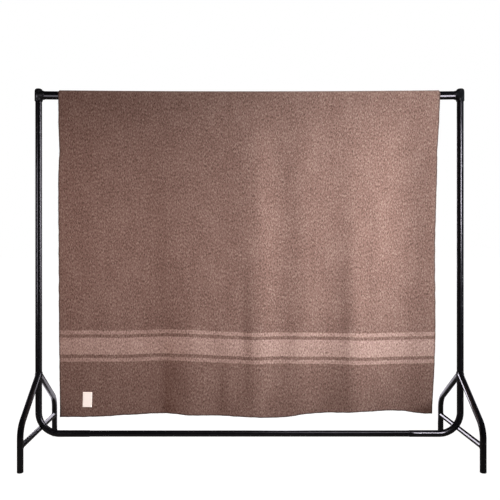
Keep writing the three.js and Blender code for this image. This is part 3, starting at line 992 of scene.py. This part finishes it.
# a corner fitting is a star about its own middle. Along a heading, the sleeve reaches 1 / norm of (across /
# radius, up / crown or down / foot), and the boss towards the rail likewise; a soft maximum joins the two.
# Under the foot the surface turns in over a lip and up into the socket for the upright
def fittingRings(side):
    heading = -roundTurns(fitting["sides"])[None, :]
    lowest = np.pi - math.atan2(fitting["footRadius"], fitting["foot"])
    lean = np.linspace(fitting["crownStart"], lowest, fitting["rings"])[:, None]
    x, y, z = np.sin(lean) * np.cos(heading), np.sin(lean) * np.sin(heading), np.cos(lean) + 0 * heading

    def reachOf(around, radius, ahead, behind, softness):
        ahead = np.clip(ahead[0], 0, None) / ahead[1]
        behind = np.clip(behind[0], 0, None) / behind[1]
        terms = (np.hypot(*around) / radius) ** softness + ahead ** softness + behind ** softness
        return terms ** (-1 / softness)

    radius = fitting["sleeveRadius"]
    upper = reachOf((x, y), radius, (z, fitting["crown"]), (-z, 1.0), fitting["domeSoftness"])
    lower = reachOf((x, y), radius, (z, 1.0), (-z, fitting["foot"]), fitting["footSoftness"])
    sleeve = np.where(z > 0, upper, lower)
    toRail = (-side * x, fitting["bossReach"])
    fromRail = (side * x, fitting["bossBack"])
    boss = reachOf((y, z), fitting["bossRadius"], toRail, fromRail, fitting["bossSoftness"])
    join = fitting["joinSoftness"]
    reach = (sleeve ** join + boss ** join) ** (1 / join)
    star = reach[..., None] * sideBySide(x, y, z)
    inner, foot, lip = fitting["socketRadius"], -fitting["foot"], fitting["lip"]
    socket = [(inner + 2 * lip, foot), (inner + lip, foot), (inner, foot + lip)]
    socket.append((inner, fitting["socketTop"]))
    circle = sideBySide(np.cos(heading[0]), np.sin(heading[0]), 0)
    rings = np.stack([reach * circle + np.array([0, 0, height]) for reach, height in socket])
    return np.concatenate([star, rings]) + np.array([side * stand["half"], 0, fitting["height"]])


addRail()
addBar()
for name, side in (("Left", -1), ("Right", 1)):
    addUpright(name, side)
    addBrace(name, side)
    addHard("cornerFitting" + name, "black_plastic", [tubeMesh(fittingRings(side))])
    for face, facing in (("Front", -1), ("Back", 1)):
        addLeg(face, name, side, facing)
        addPlug(face, name, side, facing)
print("stand built")

# studio

studio = dict(
    ambient=0.15, gloss=0.02, tint=(1.0, 0.88, 0.82, 1), floorHalf=60.0,
    floorColour=(0.2, 0.19, 0.185, 1), floorRoughness=0.9,
    glow=(0.05, 0.95),  # spread and base of the floor's white
    glowRange=(0.6, 2.0),  # metres from the stand's middle
    glintSpread=180.0, glintTint=(0.93, 0.88, 1.0),
)
coolWhite, warmWhite, plainWhite = (0.92, 1.02, 1.06), (1.0, 0.85, 0.80), (1.0, 1.0, 1.0)
fittings = ["cornerFittingLeft", "cornerFittingRight"]
notBraces = ["topRail", "bottomBar", "uprightLeft", "uprightRight"] + fittings
notBraces += ["legFrontLeft", "legFrontRight", "legBackLeft", "legBackRight"]

# lamps for diffuse light alone: name, place, aim, width, height, power, spread in degrees, tint
clothLamps = [
    ("key", (2.2, -1.05, 1.34), (0.25, 0, 0.96), 0.4, 1.44, 15.4, 40, coolWhite),
    ("fill", (-2.16, -1.15, 1.54), (0.05, 0, 0.42), 0.4, 1.2, 5.7, 66, warmWhite),
    ("backKey", (-2.2, 1.5, 1.8), (0, 0, 0.8), 0.6, 1.2, 20, 80, plainWhite),
    ("backFill", (2.2, 1.7, 1.6), (0, 0, 0.8), 0.6, 1.2, 7, 80, plainWhite),
]

# lamps seen only in reflections: name, place, aim, width, height, power, and the pieces that show it, or all
glintLamps = [
    ("backStrip", (0.4, 2.8, 1.2), (0, 0, 1), 0.3, 1.4, 9, notBraces),
    ("sideRight", (3, 1.7, 1), (0, 0, 0.8), 0.4, 1.8, 3.4, "all"),
    ("sideLeft", (-3, 1.7, 1), (0, 0, 0.8), 0.4, 1.8, 3.4, "all"),
    ("railRight", (1.34, -1.56, 0.60), (0.85, 0, 1.52), 0.5, 1.1, 50, ["topRail"]),
    ("railLeft", (-1.30, -1.56, 0.60), (-0.85, 0, 1.52), 0.5, 1.1, 7, ["topRail"]),
    ("postRight", (1.28, -1.56, 1.28), (0.9, 0, 1.1), 0.3, 0.7, 34, ["uprightRight"]),
    ("postLeft", (2.2, -0.57, 1.32), (-0.9, 0, 1.1), 0.5, 1.2, 120, ["uprightLeft"]),
    ("postLeftFar", (-1.95, -1.56, 1), (-0.9, 0, 1), 0.4, 1, 14, ["uprightLeft", fittings[0]]),
    ("fittings", (0.3, -1.9, 2.1), (0, 0, 1.5), 0.9, 0.6, 9, fittings),
    ("low", (0.95, -1.5, 2.3), (0.6, 0, 0.1), 1.2, 0.5, 15, ["bottomBar", "uprightRight"]),
    ("behindRight", (-0.22, 3, 0.92), (0.9, 0, 0.1), 1.2, 1.4, 50, ["braceRight"]),
    ("behindLeft", (-0.94, 0.48, 0.22), (-0.9, 0, 0.11), 0.4, 0.08, 0.45, ["braceLeft"]),
    ("acrossRight", (-0.72, 1.3, 0.58), (0.9, -0.1, 0.25), 1, 0.8, 46, ["legFrontRight"]),
    ("acrossLeft", (0.81, 1.3, 0.73), (-0.9, -0.1, 0.25), 1, 0.8, 9, ["legFrontLeft"]),
    ("floorGlow", (-0.85, 0.62, 0.02), (-0.85, 0.63, 1), 0.8, 0.7, 2.8, ["legBackLeft"]),
    ("floorGlowRight", (0.5, 1.3, 0.02), (0.5, 1.31, 1), 1.6, 1.8, 20, ["legBackRight"]),
]


# plain pale floor that reads white to the camera and a quieter grey in the stand's gloss
def addFloor():
    half = studio["floorHalf"]
    mesh = bpy.data.meshes.new("floor")
    corners = [(-half, -half, 0), (half, -half, 0), (half, half, 0), (-half, half, 0)]
    mesh.from_pydata(corners, [], [(0, 1, 2, 3)])
    constants = {"Base Color": studio["floorColour"], "Roughness": studio["floorRoughness"]}
    material, tree, shader = newMaterial("pale floor", constants)
    place = addNode(tree, "TexCoord").outputs["Object"]
    away = addNode(tree, "VectorMath", {0: place}, operation="LENGTH").outputs["Value"]
    glow = scaled(tree, softEdge(tree, away, *studio["glowRange"]), *studio["glow"])
    seen = addNode(tree, "Emission", {"Color": (1, 1, 1, 1), "Strength": glow})
    both = addNode(tree, "AddShader", {0: shader.outputs[0], 1: seen.outputs[0]})
    ray = addNode(tree, "LightPath").outputs["Is Camera Ray"]
    mix = addNode(tree, "MixShader", {0: ray, 1: shader.outputs[0], 2: both.outputs[0]})
    setInputs(tree, tree.nodes["Material Output"], {"Surface": mix.outputs[0]})
    mesh.materials.append(material)
    floor = addObject("floor", mesh)


# white to the camera, nearly black in the gloss and a warm ambient light on all else
def addWorld():
    world = bpy.data.worlds.new("studio")
    world.use_nodes = True
    tree = world.node_tree
    ambient = tree.nodes["Background"]
    setInputs(tree, ambient, {"Color": studio["tint"], "Strength": studio["ambient"]})
    seen = addNode(tree, "Background", {"Color": (1, 1, 1, 1), "Strength": 1.0})
    gloss = addNode(tree, "Background", {"Color": (1, 1, 1, 1), "Strength": studio["gloss"]})
    ray = addNode(tree, "LightPath").outputs
    unseen = {0: ray["Is Glossy Ray"], 1: ambient.outputs[0], 2: gloss.outputs[0]}
    others = addNode(tree, "MixShader", unseen)
    values = {0: ray["Is Camera Ray"], 1: others.outputs[0], 2: seen.outputs[0]}
    mix = addNode(tree, "MixShader", values)
    setInputs(tree, tree.nodes["World Output"], {"Surface": mix.outputs[0]})
    bpy.context.scene.world = world


# a rectangle whose face looks from its place to its aim
def addLamp(name, place, aim, width, height, power, spread, tint):
    data = bpy.data.lights.new(name, "AREA")
    data.shape = "RECTANGLE"
    data.size, data.size_y = width, height
    data.energy = power
    data.color = tint
    data.spread = math.radians(spread)
    lamp = addObject(name, data)
    lamp.location = place
    heading = np.subtract(aim, place)
    lean = math.acos(-heading[2] / np.linalg.norm(heading))
    lamp.rotation_euler = (lean, 0, math.atan2(-heading[0], heading[1]))
    lamp.visible_camera = False
    return lamp


def showOnlyOn(lamp, pieces):
    lit = bpy.data.collections.new(lamp.name + "Lit")
    for piece in pieces:
        lit.objects.link(bpy.data.objects[piece])
    lamp.light_linking.receiver_collection = lit
    lamp.light_linking.blocker_collection = lit


addFloor()
addWorld()
for row in clothLamps:
    addLamp(*row).visible_glossy = False
for *row, pieces in glintLamps:
    lamp = addLamp(*row, studio["glintSpread"], studio["glintTint"])
    lamp.visible_diffuse = False
    if pieces != "all":
        showOnlyOn(lamp, pieces)
bpy.context.scene.view_settings.view_transform = "Standard"
print("studio lit")
